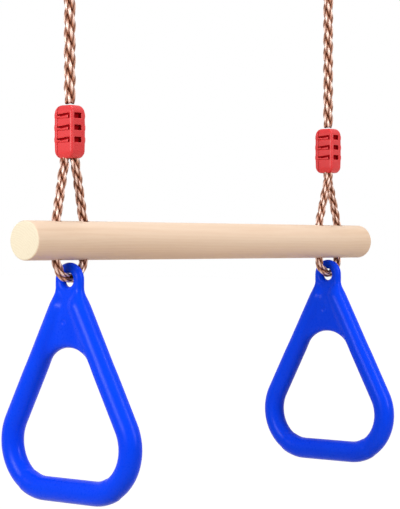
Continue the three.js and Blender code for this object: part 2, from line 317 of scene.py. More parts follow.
# The loops' routes by the middle of the rope, in millimetres: across to the bar's middle, across the bar, up
LOOP_ARM = [
    (3.33, -3, 68.8),
    (3.75, -2.9, 66),
    (4.75, -2.68, 63),
    (6.1, -2.4, 59.5),
    (8.6, -1.86, 50),
    (11.25, -1.29, 40),
    (13.9, -0.71, 30),
    (15.5, -0.37, 24),
    (16.35, -0.17, 20.7),
    (17.0, -0.04, 17.5),
    (17.2, 0, 14.3),
    (17.2, 0, 4),
    (17.2, 0, -6),
    (17.2, 0, -15.6),
    (15.89, 0, -22.18),
    (12.16, 0, -27.76),
    (6.58, 0, -31.49),
]
LOOP_LOWEST = (0, 0, -32.8)
TOP_ARM = [
    (3.3, -3.05, 2),
    (3.1, -4, 4.8),
    (2.6, -6.1, 8.6),
    (1.9, -9.2, 14),
    (1.2, -12.3, 20),
    (0.5, -15.2, 26),
    (0.1, -16.9, 31),
    (0, -16.6, 37),
    (0, -13.8, 43.1),
    (0, -7.7, 48.2),
]
TOP_HIGHEST = (0, 0, 50)


def loop_route(arm, turning_point, origin, toward, lead):
    """A loop from its two arms, the second being the first turned half a turn. lead is a point before the arm's
    first one, inside the clip's mouth."""
    one = [lead, *arm]
    other = [(-x, -y, z) for x, y, z in reversed(one)]
    points = [*one, turning_point, *other]
    return [origin + Vector((toward * x, y, z)) * MM for x, y, z in points]


def make_ropes(material):
    for side, x in rope_x.items():
        toward = toward_middle[side]
        bar_origin = Vector((x, bar_middle.y, bar_middle.z))
        route = loop_route(LOOP_ARM, LOOP_LOWEST, bar_origin, toward, (3.0, -2.9, 74))
        piece, line, long = laid_rope(side + "_laid_loop", route, LOOP_ROPE, even)
        dress(piece, "bar", material, "rope", side + "_rope_loop")

        top_origin = Vector((x, 0, top_clip_high.z))
        route = loop_route(TOP_ARM, TOP_HIGHEST, top_origin, toward, (3.0, -2.9, -3))
        piece, line, long = laid_rope(side + "_laid_top_loop", route, LOOP_ROPE, even)
        dress(piece, "hangers", material, "rope", side + "_rope_top_loop")

        foot = Vector((x, 0, riser_foot - RISER_IN_MOUTH))
        head = Vector((x, 0, riser_head + RISER_IN_MOUTH))
        piece, line, long = laid_rope(side + "_laid_riser", [foot, head], RISER_ROPE, squeezed_at_ends)
        dress(piece, side + "_line", material, "rope", side + "_rope_riser")

        for name, low, high, body in (
            ("_rope_in_clip", clip_low.z, clip_high.z, "bar"),
            ("_rope_in_top_clip", top_clip_high.z, top_clip_low.z, "hangers"),
        ):
            way = 1 if high > low else -1
            route = [Vector((x, 0, low + way * FIT)), Vector((x, 0, high - way * FIT))]
            piece, line, long = laid_rope(side + name + "_laid", route, CRUSHED_ROPE, even)
            crush(piece, x, low, way)
            dress(piece, body, material, "rope", side + name)


def crush(piece, x, foot, way):
    """Presses the rope against the walls of the clip's hollow, and into its wide foot and its narrow mouth."""
    for vert in piece.data.vertices:
        height = min(max((vert.co.z - foot) * way, FIT), CLIP_TALL - FIT)
        vert.co.z = foot + way * height
        if height < END_WALL:
            wide, deep = FOOT_WIDE / 2, FOOT_DEEP / 2
        elif height < CLIP_TALL - END_WALL:
            wide, deep = CLAMP_WIDE / 2, CLAMP_DEEP / 2
        else:
            wide = deep = NECK / 2 - FIT
        aside, across = (vert.co.x - x) / wide, vert.co.y / deep
        if height < CLIP_TALL - END_WALL:
            vert.co.x = x + wide * max(-1, min(1, aside))
            vert.co.y = deep * max(-1, min(1, across))
        else:
            shrink = 1 / max(1, math.hypot(aside, across))
            vert.co.x = x + wide * aside * shrink
            vert.co.y = deep * across * shrink


# The wooden bar
HOLE_SPACING = 34.4 * MM
HOLE_RADIUS = LOOP_ROPE / 2 + 0.7 * MM
BAR_EDGE = 1.6 * MM
BAR_SIDES = 96


def make_bar(material):
    end = bar_high.x
    places = []
    edge_turns = [math.radians(turn) for turn in (90, 72, 54, 36, 18, 0)]
    lengths = []
    for turn in edge_turns:
        lengths.append((-end + BAR_EDGE * (1 - math.cos(turn)), bar_radius - BAR_EDGE * (1 - math.sin(turn))))
    lengths = [(-end, bar_radius - BAR_EDGE)]
    for turn in (15, 30, 45, 60, 75, 90):
        angle = math.radians(turn)
        lengths.append((-end + BAR_EDGE * (1 - math.cos(angle)), bar_radius - BAR_EDGE * (1 - math.sin(angle))))
    lengths += [(-along, radius) for along, radius in reversed(lengths)]
    for along, radius in lengths:
        place = standing(Vector((along, bar_middle.y, bar_middle.z)), Vector((0, 1, 0)), Vector((1, 0, 0)))
        places.append((along, place @ Matrix.Scale(radius / bar_radius, 4)))
    bm = bmesh.new()
    bmesh.ops.create_circle(bm, segments=BAR_SIDES, radius=bar_radius)
    sweep(bm, list(bm.edges), places)
    bar = piece_from(bm, "drilled_bar", math.radians(40))
    drills = bmesh.new()
    for x in rope_x.values():
        for arm in (-1, 1):
            place = Matrix.Translation((x + arm * HOLE_SPACING / 2, bar_middle.y, bar_middle.z))
            bmesh.ops.create_cone(
                drills,
                cap_ends=True,
                segments=40,
                radius1=HOLE_RADIUS,
                radius2=HOLE_RADIUS,
                depth=4 * bar_radius,
                matrix=place,
            )
    combine(bar, piece_from(drills, "drills"), "DIFFERENCE")
    bevel = bar.modifiers.new("eased hole edges", "BEVEL")
    bevel.width = 0.7 * MM
    bevel.segments = 3
    bevel.limit_method = "ANGLE"
    bevel.angle_limit = math.radians(40)
    bevel.harden_normals = True
    finished(bar)
    dress(bar, "bar", material, "wood", "wooden_bar")


# The handles, drawn round the middle of the rope that carries them
EYE_HOLE = 11.8 * MM
EYE_HALF_THICK = 4.7 * MM
EYE_WALL = 9.4 * MM
EYE_DROP = EYE_HOLE / 2 - LOOP_ROPE / 2 - FIT
NECK_DROP = 34 * MM
LIMB_RADIUS = 10.2 * MM
LIMB_TOP_HALF = 10.65 * MM
LIMB_TOP_DROP = 23 * MM
GRIP_DROP = 182.9 * MM
GRIP_HALF = 29.1 * MM
GRIP_RADIUS = 10.8 * MM
GRIP_TURN = math.radians(30)
CORNER_RADIUS = 39.85 * MM
WINDOW_DROP = 59.1 * MM
WEB_HALF_THICK = 6.5 * MM
ARCH_RADIUS = 30.4 * MM
ARCH_REACH = math.radians(62)  # to where the arch runs into the limbs
LIMB_RISE = 15 * MM  # how far a limb runs up into the neck
STEP_TURN = math.radians(3)  # the turn in which the limb thickens to the grip
GATE_DROP = 36.5 * MM
GATE_RADIUS = 2.6 * MM
GATE_DEEP = 0.9 * MM
CROWN = [(drop * MM, thick * MM) for drop, thick in ((12, 4.6), (17, 6), (23, 8.2), (30, 9.1), (38, 8.7), (46, 7.6), (53, 6.6))]
JUNCTION_FADE = 8 * MM
JUNCTION_ROUNDS = 14
VOXEL = 0.9 * MM


def polar(turn, radius=1.0):
    """A point in the handle's plane, which is Y and Z."""
    return Vector((0, radius * math.cos(turn), radius * math.sin(turn)))


def handle_mesh():
    eye = Vector((0, 0, -EYE_DROP))
    limb_top = eye + Vector((0, LIMB_TOP_HALF, -LIMB_TOP_DROP))
    grip_z = eye.z - GRIP_DROP
    corner = Vector((0, GRIP_HALF, grip_z + CORNER_RADIUS))
    to_top = limb_top - corner
    slant = math.atan2(to_top.z, to_top.y) - math.acos(CORNER_RADIUS / to_top.length)

    # One limb, the corner and half the grip, from the top down, then the same the other way
    foot_of_limb = corner + polar(slant, CORNER_RADIUS)
    limb_slope = math.pi / 2 - slant
    half_line = [limb_top + Vector((0, 0, LIMB_RISE * step / 12)) for step in range(12, 0, -1)]
    for share in (0, 0.25, 0.5, 0.75):
        half_line.append(limb_top.lerp(foot_of_limb, share))
    steps = 40
    for step in range(steps + 1):
        turn = slant + (-math.pi / 2 - slant) * step / steps
        half_line.append(corner + polar(turn, CORNER_RADIUS))
    mirrored = [Vector((0, -point.y, point.z)) for point in reversed(half_line)]
    line = half_line + mirrored
    places = []
    ahead, sides = untwisted_sides(line, Vector((1, 0, 0)))
    for point, forward, side in zip(line, ahead, sides):
        leaning = math.acos(min(abs(forward.y), 1))
        thicker = 1 - min(max((leaning - GRIP_TURN) / STEP_TURN, 0), 1)
        radius = LIMB_RADIUS + (GRIP_RADIUS - LIMB_RADIUS) * thicker
        above = min(max((point.z - limb_top.z) / LIMB_RISE, 0), 1)
        narrower = 1 + (EYE_HALF_THICK / LIMB_RADIUS - 1) * (3 - 2 * above) * above**2
        places.append((0, standing(point, side, forward) @ Matrix.Scale(narrower * radius / LIMB_RADIUS, 4)))
    bm = bmesh.new()
    bmesh.ops.create_circle(bm, segments=48, radius=LIMB_RADIUS)
    sweep(bm, list(bm.edges), places)

    # The eye, a round ring, and the neck below it
    ring_radius = EYE_HOLE / 2 + EYE_WALL / 2
    ring_places = []
    for step in range(64):
        turn = 2 * math.pi * step / 64
        centre = eye + polar(turn, ring_radius)
        forward = polar(turn + math.pi / 2)
        ring_places.append((0, standing(centre, Vector((1, 0, 0)), forward)))
    made = bmesh.ops.create_circle(bm, segments=32, radius=EYE_HALF_THICK)["verts"]
    sweep(bm, list({edge for vert in made for edge in vert.link_edges}), ring_places, closed=True)
    neck_low = eye.z - NECK_DROP
    for way in (-1, 1):
        neck_side = [
            (0, standing(Vector((0, way * ring_radius, z)), Vector((1, 0, 0)), Vector((0, 0, 1))))
            for z in (neck_low, eye.z)
        ]
        made = bmesh.ops.create_circle(bm, segments=32, radius=EYE_HALF_THICK)["verts"]
        sweep(bm, list({edge for vert in made for edge in vert.link_edges}), neck_side)
    neck_high = eye.z - ring_radius
    neck = Matrix.Translation((0, 0, (neck_low + neck_high) / 2)) @ Matrix.Diagonal(
        (2 * EYE_HALF_THICK * 0.96, 2 * ring_radius, neck_high - neck_low, 1)
    )
    bmesh.ops.create_cube(bm, size=1, matrix=neck)

    # The crown between the limbs, which fades into the neck above and the web below
    crown_places = []
    for drop, half_thick in CROWN:
        aside = LIMB_TOP_HALF + math.tan(math.pi / 2 - limb_slope) * max(drop - LIMB_TOP_DROP, 0)
        place = Matrix.Translation((0, 0, eye.z - drop))
        crown_places.append((0, place @ Matrix.Diagonal((half_thick / aside, 1, 1, 1)) @ Matrix.Scale(aside / LIMB_RADIUS, 4)))
    made = bmesh.ops.create_circle(bm, segments=48, radius=LIMB_RADIUS)["verts"]
    sweep(bm, list({edge for vert in made for edge in vert.link_edges}), crown_places)

    # The web, whose lower edge is a shallow arch from limb to limb
    arch = Vector((0, 0, eye.z - WINDOW_DROP - ARCH_RADIUS))
    reach = ARCH_REACH
    middle_radius = ARCH_RADIUS + WEB_HALF_THICK
    edge_places = []
    for step in range(33):
        turn = math.pi / 2 - reach + 2 * reach * step / 32
        edge_places.append((0, standing(arch + polar(turn, middle_radius), Vector((1, 0, 0)), polar(turn + math.pi / 2))))
    made = bmesh.ops.create_circle(bm, segments=32, radius=WEB_HALF_THICK)["verts"]
    sweep(bm, list({edge for vert in made for edge in vert.link_edges}), edge_places)
    start = bm.verts.new(arch + polar(math.pi / 2 - reach, middle_radius) + Vector((-WEB_HALF_THICK, 0, 0)))
    arch_foot = start.co.z
    spun = bmesh.ops.spin(
        bm,
        geom=[start],
        cent=arch,
        axis=(1, 0, 0),
        angle=2 * reach,
        steps=32,
        use_merge=False,
    )
    end = spun["geom_last"][0]
    outline = [start]
    while outline[-1] is not end:
        following = [edge.other_vert(outline[-1]) for edge in outline[-1].link_edges]
        outline.append(next(vert for vert in following if vert not in outline))
    down = (limb_top.z - arch_foot) / (limb_top.z - foot_of_limb.z)
    limb_point = limb_top.lerp(foot_of_limb, down)
    for way, pair in ((-1, (limb_point, limb_top)), (1, (limb_top, limb_point))):
        outline += [bm.verts.new((-WEB_HALF_THICK, way * point.y, point.z)) for point in pair]
    face = bm.faces.new(outline)
    grown = bmesh.ops.extrude_face_region(bm, geom=[face])["geom"]
    moved = [part for part in grown if isinstance(part, bmesh.types.BMVert)]
    bmesh.ops.translate(bm, vec=(2 * WEB_HALF_THICK, 0, 0), verts=moved)

    handle = piece_from(bm, "handle")
    remesh = handle.modifiers.new("one skin", "REMESH")
    remesh.mode = "VOXEL"
    remesh.voxel_size = VOXEL
    soften = handle.modifiers.new("soft moulded edges", "SMOOTH")
    soften.factor = 0.5
    soften.iterations = 8
    finished(handle)
    mesh = handle.data
    junction = handle.vertex_groups.new(name="junction")
    top, bottom = eye.z - EYE_HOLE / 2 - JUNCTION_FADE / 2, arch_foot - JUNCTION_FADE
    for vert in mesh.vertices:
        inside = min(top - vert.co.z, vert.co.z - bottom) / JUNCTION_FADE
        junction.add([vert.index], min(max(inside, 0), 1), "REPLACE")
    spread = handle.modifiers.new("spread junctions", "SMOOTH")
    spread.factor = 0.5
    spread.iterations = 70
    spread.vertex_group = "junction"
    for _ in range(JUNCTION_ROUNDS):
        for factor in (0.5, -0.52):
            blend = handle.modifiers.new("soft junctions", "SMOOTH")
            blend.factor = factor
            blend.iterations = 5
            blend.vertex_group = "junction"
    finished(handle)
    mesh = handle.data
    for vert in mesh.vertices:
        gap = math.hypot(vert.co.y, vert.co.z - (eye.z - GATE_DROP))
        if gap < GATE_RADIUS and abs(vert.co.x) > WEB_HALF_THICK / 2:
            depth = GATE_DEEP * (1 - (gap / GATE_RADIUS) ** 2) ** 0.5
            vert.co.x -= math.copysign(depth, vert.co.x)
    for polygon in mesh.polygons:
        polygon.use_smooth = True
    bpy.data.objects.remove(handle)
    return mesh


def make_handles(material):
    mesh = handle_mesh()
    for side in rope_x:
        body = "left_grip" if side == "left" else "right_grip"
        pivot = pivots[side + "_handle_swing"]
        own = mesh.copy()
        own.transform(Matrix.Translation(pivot))
        piece = bpy.data.objects.new(side + "_moulded_handle", own)
        bpy.context.scene.collection.objects.link(piece)
        dress(piece, body, material, "handle_plastic", side + "_handle")
    bpy.data.meshes.remove(mesh)


# The clips, drawn round their own middle with the narrow mouth at the top
CLIP_TALL = clip_high.z - clip_low.z
CLIP_WIDE = 18.3 * MM  # at the belly
CLIP_DEEP = 21.8 * MM
CLIP_CORNER = 2.2 * MM
SHOULDER_TALL = 6 * MM
BELLY = 0.4 * MM  # how far the sides stand in at the two ends, from the belly
BELLY_STEPS = 8
HEAD_IN = (3.2 * MM, 4.4 * MM)  # how far the domed head stands in, along the bar and across it
FOOT_IN = (3.2 * MM, 3.8 * MM)
ROUND_POWER = 1.2
END_WALL = 6 * MM
CLAMP_WIDE = 11.6 * MM
CLAMP_DEEP = 12.4 * MM
CLAMP_CORNER = 3 * MM
FOOT_WIDE = 8 * MM
FOOT_DEEP = 10.4 * MM
NECK = 9 * MM
SLOT_RISE = 3.5 * MM
SLOT_PITCH = 10.4 * MM
SLOT_TALL = 4.8 * MM
SLOT_TALL_AT_JOINT = 3 * MM
SLOT_END = 3 * MM
WINDOW_WIDE = 9 * MM
WINDOW_TALL = 4.6 * MM
WINDOW_SHIFT = 1.2 * MM
PRONG_PROUD = 0.6 * MM
PRONG_THICK = 2.4 * MM
PRONG_LONG = 3.4 * MM
PRONG_TALL = 1.5 * MM
TONGUE_IN = 0.3 * MM
SLOT_DEEP = 2.2 * MM
TONGUE_GAP = 2 * MM  # less than the slot's height at the joint
TONGUE_TIP_GAP = 1.5 * MM
TONGUE_FIT = 0.12 * MM
SHALLOW_FROM = -6 * MM
SHALLOW_DEEP = 1.1 * MM
WINDOW_DEEP = 3.4 * MM
PILLOW = 0.12 * MM
PILLOW_CUTS = 5
CLIP_VOXEL = 0.3 * MM
# The painted shade in the clips' slots and windows starts at the first depth below the outer sides and is full at the
# second.
PAINTED_SHADE_FROM = 0.45 * MM
PAINTED_SHADE_FULL = 1.1 * MM
SKIN_FADE = 0.35 * MM  # below this depth the outer skin is no longer smoothed further
SKIN_ROUNDS = 32
PAD_PROUD = 0.4 * MM
PAD_FROM = 6.7 * MM
PAD_TALL = 3.8 * MM
OVERRUN = 2 * MM


def rounded_block(wide, deep, corner, levels, segments=6, pillow=0):
    """An upright block with rounded corners. Each level is a height and how far the sides stand in there, along X
    and along Y. pillow is how far the corners stand in from the crowned sides."""
    bm = bmesh.new()
    place = Matrix.Diagonal((wide, deep, 1, 1))
    bmesh.ops.create_grid(bm, x_segments=1, y_segments=1, size=0.5, matrix=place)
    bmesh.ops.bevel(
        bm, geom=list(bm.verts), offset=corner, segments=segments, profile=0.5, affect="VERTICES", material=-1
    )
    bmesh.ops.delete(bm, geom=list(bm.faces), context="FACES_ONLY")
    if pillow:
        sides = [edge for edge in bm.edges if edge.calc_length() > corner]
        bmesh.ops.subdivide_edges(bm, edges=sides, cuts=PILLOW_CUTS)
        for vert in bm.verts:
            x, y = vert.co.x, vert.co.y
            vert.co.x -= math.copysign(pillow * (2 * y / deep) ** 2, x)
            vert.co.y -= math.copysign(pillow * (2 * x / wide) ** 2, y)
    places = []
    for z, inset_x, inset_y in levels:
        shrink = Matrix.Diagonal((1 - 2 * inset_x / wide, 1 - 2 * inset_y / deep, 1, 1))
        places.append((0, Matrix.Translation((0, 0, z)) @ shrink))
    sweep(bm, list(bm.edges), places)
    return bm


def tool_from(bm):
    return piece_from(bm, "tool")


def prism(points, low, high, axis):
    """A solid from an outline in two axes, thickened along the third, named by its letter."""
    order = {"X": lambda a, b, c: (c, a, b), "Z": lambda a, b, c: (a, b, c)}[axis]
    bm = bmesh.new()
    face = bm.faces.new([bm.verts.new(order(a, b, low)) for a, b in points])
    grown = bmesh.ops.extrude_face_region(bm, geom=[face])["geom"]
    moved = [part for part in grown if isinstance(part, bmesh.types.BMVert)]
    bmesh.ops.translate(bm, vec=order(0, 0, high - low), verts=moved)
    return tool_from(bm)


def shoulder_levels():
    """The levels of a clip's body from its foot to its head, rounded over at both ends."""
    levels = []
    steps = 8
    for way, (inset_x, inset_y) in ((-1, FOOT_IN), (1, HEAD_IN)):
        end = []
        for step in range(steps + 1):
            turn = math.pi / 2 * step / steps
            out = math.sin(turn) ** ROUND_POWER
            up = math.cos(turn) ** ROUND_POWER
            z = way * (CLIP_TALL / 2 - SHOULDER_TALL * (1 - up))
            end.append((z, inset_x * (1 - out), inset_y * (1 - out)))
        levels += end if way < 0 else reversed(end)
        if way < 0:
            straight = CLIP_TALL / 2 - SHOULDER_TALL
            for step in range(1, BELLY_STEPS):
                levels.append(((2 * step / BELLY_STEPS - 1) * straight, 0, 0))
    belly = [BELLY * (2 * z / CLIP_TALL) ** 2 for z, _, _ in levels]
    return [(z, inset_x + stand, inset_y + stand) for (z, inset_x, inset_y), stand in zip(levels, belly)]


def clip_half_mesh():
    half_tall = CLIP_TALL / 2
    levels = shoulder_levels()
    half = tool_from(rounded_block(CLIP_WIDE, CLIP_DEEP, CLIP_CORNER, levels, pillow=PILLOW))
    half.name = "clip_half"

    far = CLIP_DEEP + OVERRUN
    joint_x = CLAMP_WIDE / 2 + FIT
    joint_y = CLAMP_DEEP / 2 + FIT
    outline = [(-far, -far), (far, -far), (far, -joint_y), (joint_x, -joint_y), (-joint_x, joint_y), (-far, joint_y)]
    outline = [(x - FIT / 2, y - FIT / 2) for x, y in outline]
    past = half_tall + OVERRUN
    combine(half, prism(outline, -past, past, "Z"), "INTERSECT")

    inside = half_tall - END_WALL
    hollow = rounded_block(
        CLAMP_WIDE + 2 * FIT, CLAMP_DEEP + 2 * FIT, CLAMP_CORNER, [(-inside - FIT, 0, 0), (inside + FIT, 0, 0)]
    )
    combine(half, tool_from(hollow), "DIFFERENCE")
    mouth = bmesh.new()
    bmesh.ops.create_cone(
        mouth,
        cap_ends=True,
        segments=32,
        radius1=NECK / 2 + FIT,
        radius2=NECK / 2 + FIT,
        depth=END_WALL + 2 * OVERRUN,
        matrix=Matrix.Translation((0, 0, half_tall - END_WALL / 2)),
    )
    combine(half, tool_from(mouth), "DIFFERENCE")
    foot = rounded_block(
        FOOT_WIDE + 2 * FIT, FOOT_DEEP + 2 * FIT, CLAMP_CORNER, [(-past, 0, 0), (OVERRUN - inside, 0, 0)]
    )
    combine(half, tool_from(foot), "DIFFERENCE")

    for step in (-1, 0, 1):
        z = SLOT_RISE + step * SLOT_PITCH
        low = z - SLOT_TALL / 2
        closed_end = SLOT_END - CLIP_DEEP / 2
        open_end = joint_y + OVERRUN
        slope = (SLOT_TALL - SLOT_TALL_AT_JOINT) / (open_end - closed_end)
        for start, deep in ((closed_end, SHALLOW_DEEP), (SHALLOW_FROM, SLOT_DEEP)):
            at_start = low + SLOT_TALL_AT_JOINT + slope * (open_end - start)
            slot = [(start, low), (open_end, low), (open_end, low + SLOT_TALL_AT_JOINT), (start, at_start)]
            outside = -CLIP_WIDE / 2
            combine(half, prism(slot, outside - OVERRUN, outside + deep, "X"), "DIFFERENCE")
        left, right = -WINDOW_SHIFT - WINDOW_WIDE / 2, -WINDOW_SHIFT + WINDOW_WIDE / 2
        front, floor = -CLIP_DEEP / 2 - OVERRUN, WINDOW_DEEP - CLIP_DEEP / 2
        window = [(front, z - WINDOW_TALL / 2), (floor, z - WINDOW_TALL / 2)]
        window += [(y, z + WINDOW_TALL / 2) for y in (floor, front)]
        combine(half, prism(window, left, right, "X"), "DIFFERENCE")
        outer = CLIP_WIDE / 2 + PRONG_PROUD
        prong_low = low + (SLOT_TALL_AT_JOINT - PRONG_TALL) / 2
        prong = [(-joint_y - OVERRUN, prong_low), (PRONG_LONG - joint_y, prong_low)]
        prong += [(y, z + PRONG_TALL) for y, z in reversed(prong)]
        combine(half, prism(prong, outer - PRONG_THICK, outer, "X"), "UNION")
        tip = -SHALLOW_FROM - TONGUE_FIT
        foot = low + TONGUE_FIT
        root_high = low + SLOT_TALL_AT_JOINT - TONGUE_GAP
        tip_high = low + SLOT_TALL_AT_JOINT + slope * (joint_y + tip) - TONGUE_TIP_GAP
        tongue = [(-joint_y - OVERRUN, foot), (tip, foot), (tip, tip_high), (-joint_y, root_high)]
        tongue.append((-joint_y - OVERRUN, root_high))
        combine(half, prism(tongue, CLIP_WIDE / 2 - SLOT_DEEP + TONGUE_FIT, CLIP_WIDE / 2 - TONGUE_IN, "X"), "UNION")
        combine(half, corner_pad(levels, z, joint_y), "UNION")

    remesh = half.modifiers.new("one skin", "REMESH")
    remesh.mode = "VOXEL"
    remesh.voxel_size = CLIP_VOXEL
    soften = half.modifiers.new("soft moulded edges", "SMOOTH")
    soften.factor = 0.5
    soften.iterations = 8
    finished(half)
    skin = half.vertex_groups.new(name="skin")
    for vert in half.data.vertices:
        shown = 1 - sunk_below(levels, vert.co) / SKIN_FADE
        skin.add([vert.index], min(max(shown, 0), 1), "REPLACE")
    polish = half.modifiers.new("smooth outer skin", "SMOOTH")
    polish.factor = 0.5
    polish.iterations = SKIN_ROUNDS
    polish.vertex_group = "skin"
    finished(half)
    mesh = half.data
    for polygon in mesh.polygons:
        polygon.use_smooth = True
    # Painted shade: a mask of how deep each vertex lies below the outer sides, which darkens the red and dulls its
    # gloss in slots and windows.
    painted_recess_shade = mesh.attributes.new("painted_recess_shade", "FLOAT", "POINT")
    for vert, value in zip(mesh.vertices, painted_recess_shade.data):
        deep = sunk_below(levels, vert.co)
        value.value = min(max((deep - PAINTED_SHADE_FROM) / (PAINTED_SHADE_FULL - PAINTED_SHADE_FROM), 0), 1)
    bpy.data.objects.remove(half)
    return mesh


def sunk_below(levels, place):
    """How far a place in a clip lies below the block's outer sides."""
    for (z, inset_x, inset_y), (next_z, next_x, next_y) in zip(levels, levels[1:]):
        if z <= place.z <= next_z and next_z > z:
            share = (place.z - z) / (next_z - z)
            past_x = abs(place.x) - CLIP_WIDE / 2 + inset_x + (next_x - inset_x) * share + CLIP_CORNER
            past_y = abs(place.y) - CLIP_DEEP / 2 + inset_y + (next_y - inset_y) * share + CLIP_CORNER
            outside = math.hypot(max(past_x, 0), max(past_y, 0))
            return CLIP_CORNER - outside - min(max(past_x, past_y), 0)
    return 0


def corner_pad(levels, z, joint_y):
    """A raised pad round the upright corner at the root of a prong, which the finger presses to open the clip."""
    wide, deep = CLIP_WIDE + 2 * PAD_PROUD, CLIP_DEEP + 2 * PAD_PROUD
    bm = rounded_block(wide, deep, CLIP_CORNER + PAD_PROUD, levels, pillow=PILLOW)
    pad = tool_from(bm)
    low, high = z - PAD_TALL / 2, z + PAD_TALL / 2
    far = CLIP_DEEP
    keep = prism([(-far, low), (-joint_y - FIT, low), (-joint_y - FIT, high), (-far, high)], PAD_FROM, far, "X")
    combine(pad, keep, "INTERSECT")
    core = tool_from(rounded_block(CLAMP_WIDE, CLAMP_DEEP, CLAMP_CORNER, [(-CLIP_TALL, 0, 0), (CLIP_TALL, 0, 0)]))
    return combine(pad, core, "DIFFERENCE")


def make_clips(material):
    mesh = clip_half_mesh()
    for side, x in rope_x.items():
        for name, low, high, body in (
            ("_clip", clip_low.z, clip_high.z, "bar"),
            ("_top_clip", top_clip_low.z, top_clip_high.z, "hangers"),
        ):
            place = Matrix.Translation((x, 0, (low + high) / 2))
            if body == "hangers":
                place = place @ Matrix.Rotation(math.pi, 4, "X")
            for half in ("front", "back"):
                turned = place if half == "front" else place @ Matrix.Rotation(math.pi, 4, "Z")
                own = mesh.copy()
                own.transform(turned)
                node = f"{side}{name}_{half}_half"
                piece = bpy.data.objects.new(node + "_moulded", own)
                bpy.context.scene.collection.objects.link(piece)
                dress(piece, body, material, "clip_plastic", node)
    bpy.data.meshes.remove(mesh)


# The hanging rings: welded round wire
RING_STEPS = 96
WELD_PROUD = 0.35 * MM
WELD_REACH = math.radians(7)


def make_rings(material):
    wire = (ring_high.y - ring_low.y) / 2
    ring_radius = (ring_high.z - ring_low.z) / 2 - wire
    for side, x in rope_x.items():
        middle = Vector((x, 0, (ring_low.z + ring_high.z) / 2))
        places = []
        for step in range(RING_STEPS):
            turn = 2 * math.pi * step / RING_STEPS
            outward = Vector((math.cos(turn), 0, math.sin(turn)))
            forward = Vector((-math.sin(turn), 0, math.cos(turn)))
            bead = math.exp(-(((turn - math.pi) / WELD_REACH) ** 2)) * WELD_PROUD
            place = standing(middle + outward * ring_radius, outward, forward)
            places.append((0, place @ Matrix.Scale(1 - (WELD_PROUD - bead) / wire, 4)))
        bm = bmesh.new()
        bmesh.ops.create_circle(bm, segments=32, radius=wire)
        sweep(bm, list(bm.edges), places, closed=True)
        piece = piece_from(bm, side + "_welded_ring")
        dress(piece, "rings", material, "ring_steel", side + "_ring")


# Materials
def add(tree, kind, inputs=None, **settings):
    """A node with its settings, and its inputs by name or number: a socket of another node is linked."""
    node = tree.nodes.new(kind)
    for key, value in settings.items():
        setattr(node, key, value)
    for key, value in (inputs or {}).items():
        if isinstance(value, bpy.types.NodeSocket):
            tree.links.new(value, node.inputs[key])
        else:
            node.inputs[key].default_value = value
    return node


def ramp(tree, factor, stops):
    """A colour ramp with its stops as (place, colour)."""
    node = add(tree, "ShaderNodeValToRGB", {"Fac": factor})
    elements = node.color_ramp.elements
    while len(elements) < len(stops):
        elements.new(0.5)
    for element, (place, colour) in zip(elements, stops):
        element.position = place
        element.color = colour if len(colour) == 4 else (*colour, 1)
    return node.outputs["Color"]


def new_material(name):
    material = bpy.data.materials.new(name)
    material.use_nodes = True
    tree = material.node_tree
    return material, tree, tree.nodes["Principled BSDF"]


def moulded_skin_group():
    """The skin of a moulded part: slow colour drift, fine handling marks in the gloss and a faint moulded grain."""
    group = bpy.data.node_groups.new("moulded skin", "ShaderNodeTree")
    for name, kind, side in (
        ("Vector", "NodeSocketVector", "INPUT"),
        ("Deep colour", "NodeSocketColor", "INPUT"),
        ("Pale colour", "NodeSocketColor", "INPUT"),
        ("Smooth", "NodeSocketFloat", "INPUT"),
        ("Dull", "NodeSocketFloat", "INPUT"),
        ("Colour", "NodeSocketColor", "OUTPUT"),
        ("Roughness", "NodeSocketFloat", "OUTPUT"),
        ("Height", "NodeSocketFloat", "OUTPUT"),
    ):
        group.interface.new_socket(name, in_out=side, socket_type=kind)
    inside = add(group, "NodeGroupInput").outputs
    drift = add(group, "ShaderNodeTexNoise", {"Vector": inside["Vector"], "Scale": 38, "Detail": 3})
    colour = add(
        group,
        "ShaderNodeMix",
        {0: drift.outputs["Fac"], 6: inside["Deep colour"], 7: inside["Pale colour"]},
        data_type="RGBA",
    )
    marks = add(group, "ShaderNodeTexNoise", {"Vector": inside["Vector"], "Scale": 420, "Detail": 5, "Roughness": 0.7})
    sharper = add(
        group,
        "ShaderNodeMapRange",
        {"Value": marks.outputs["Fac"], "From Min": 0.42, "From Max": 0.72, "To Min": inside["Smooth"]},
    )
    group.links.new(inside["Dull"], sharper.inputs["To Max"])
    grain = add(group, "ShaderNodeTexNoise", {"Vector": inside["Vector"], "Scale": 900, "Detail": 2})
    slow = add(group, "ShaderNodeTexNoise", {"Vector": inside["Vector"], "Scale": 60, "Detail": 1})
    height = add(
        group,
        "ShaderNodeMath",
        {0: slow.outputs["Fac"], 1: 6.0, 2: grain.outputs["Fac"]},
        operation="MULTIPLY_ADD",
    )
    out = add(group, "NodeGroupOutput").inputs
    group.links.new(colour.outputs[2], out["Colour"])
    group.links.new(sharper.outputs[0], out["Roughness"])
    group.links.new(height.outputs[0], out["Height"])
    return group


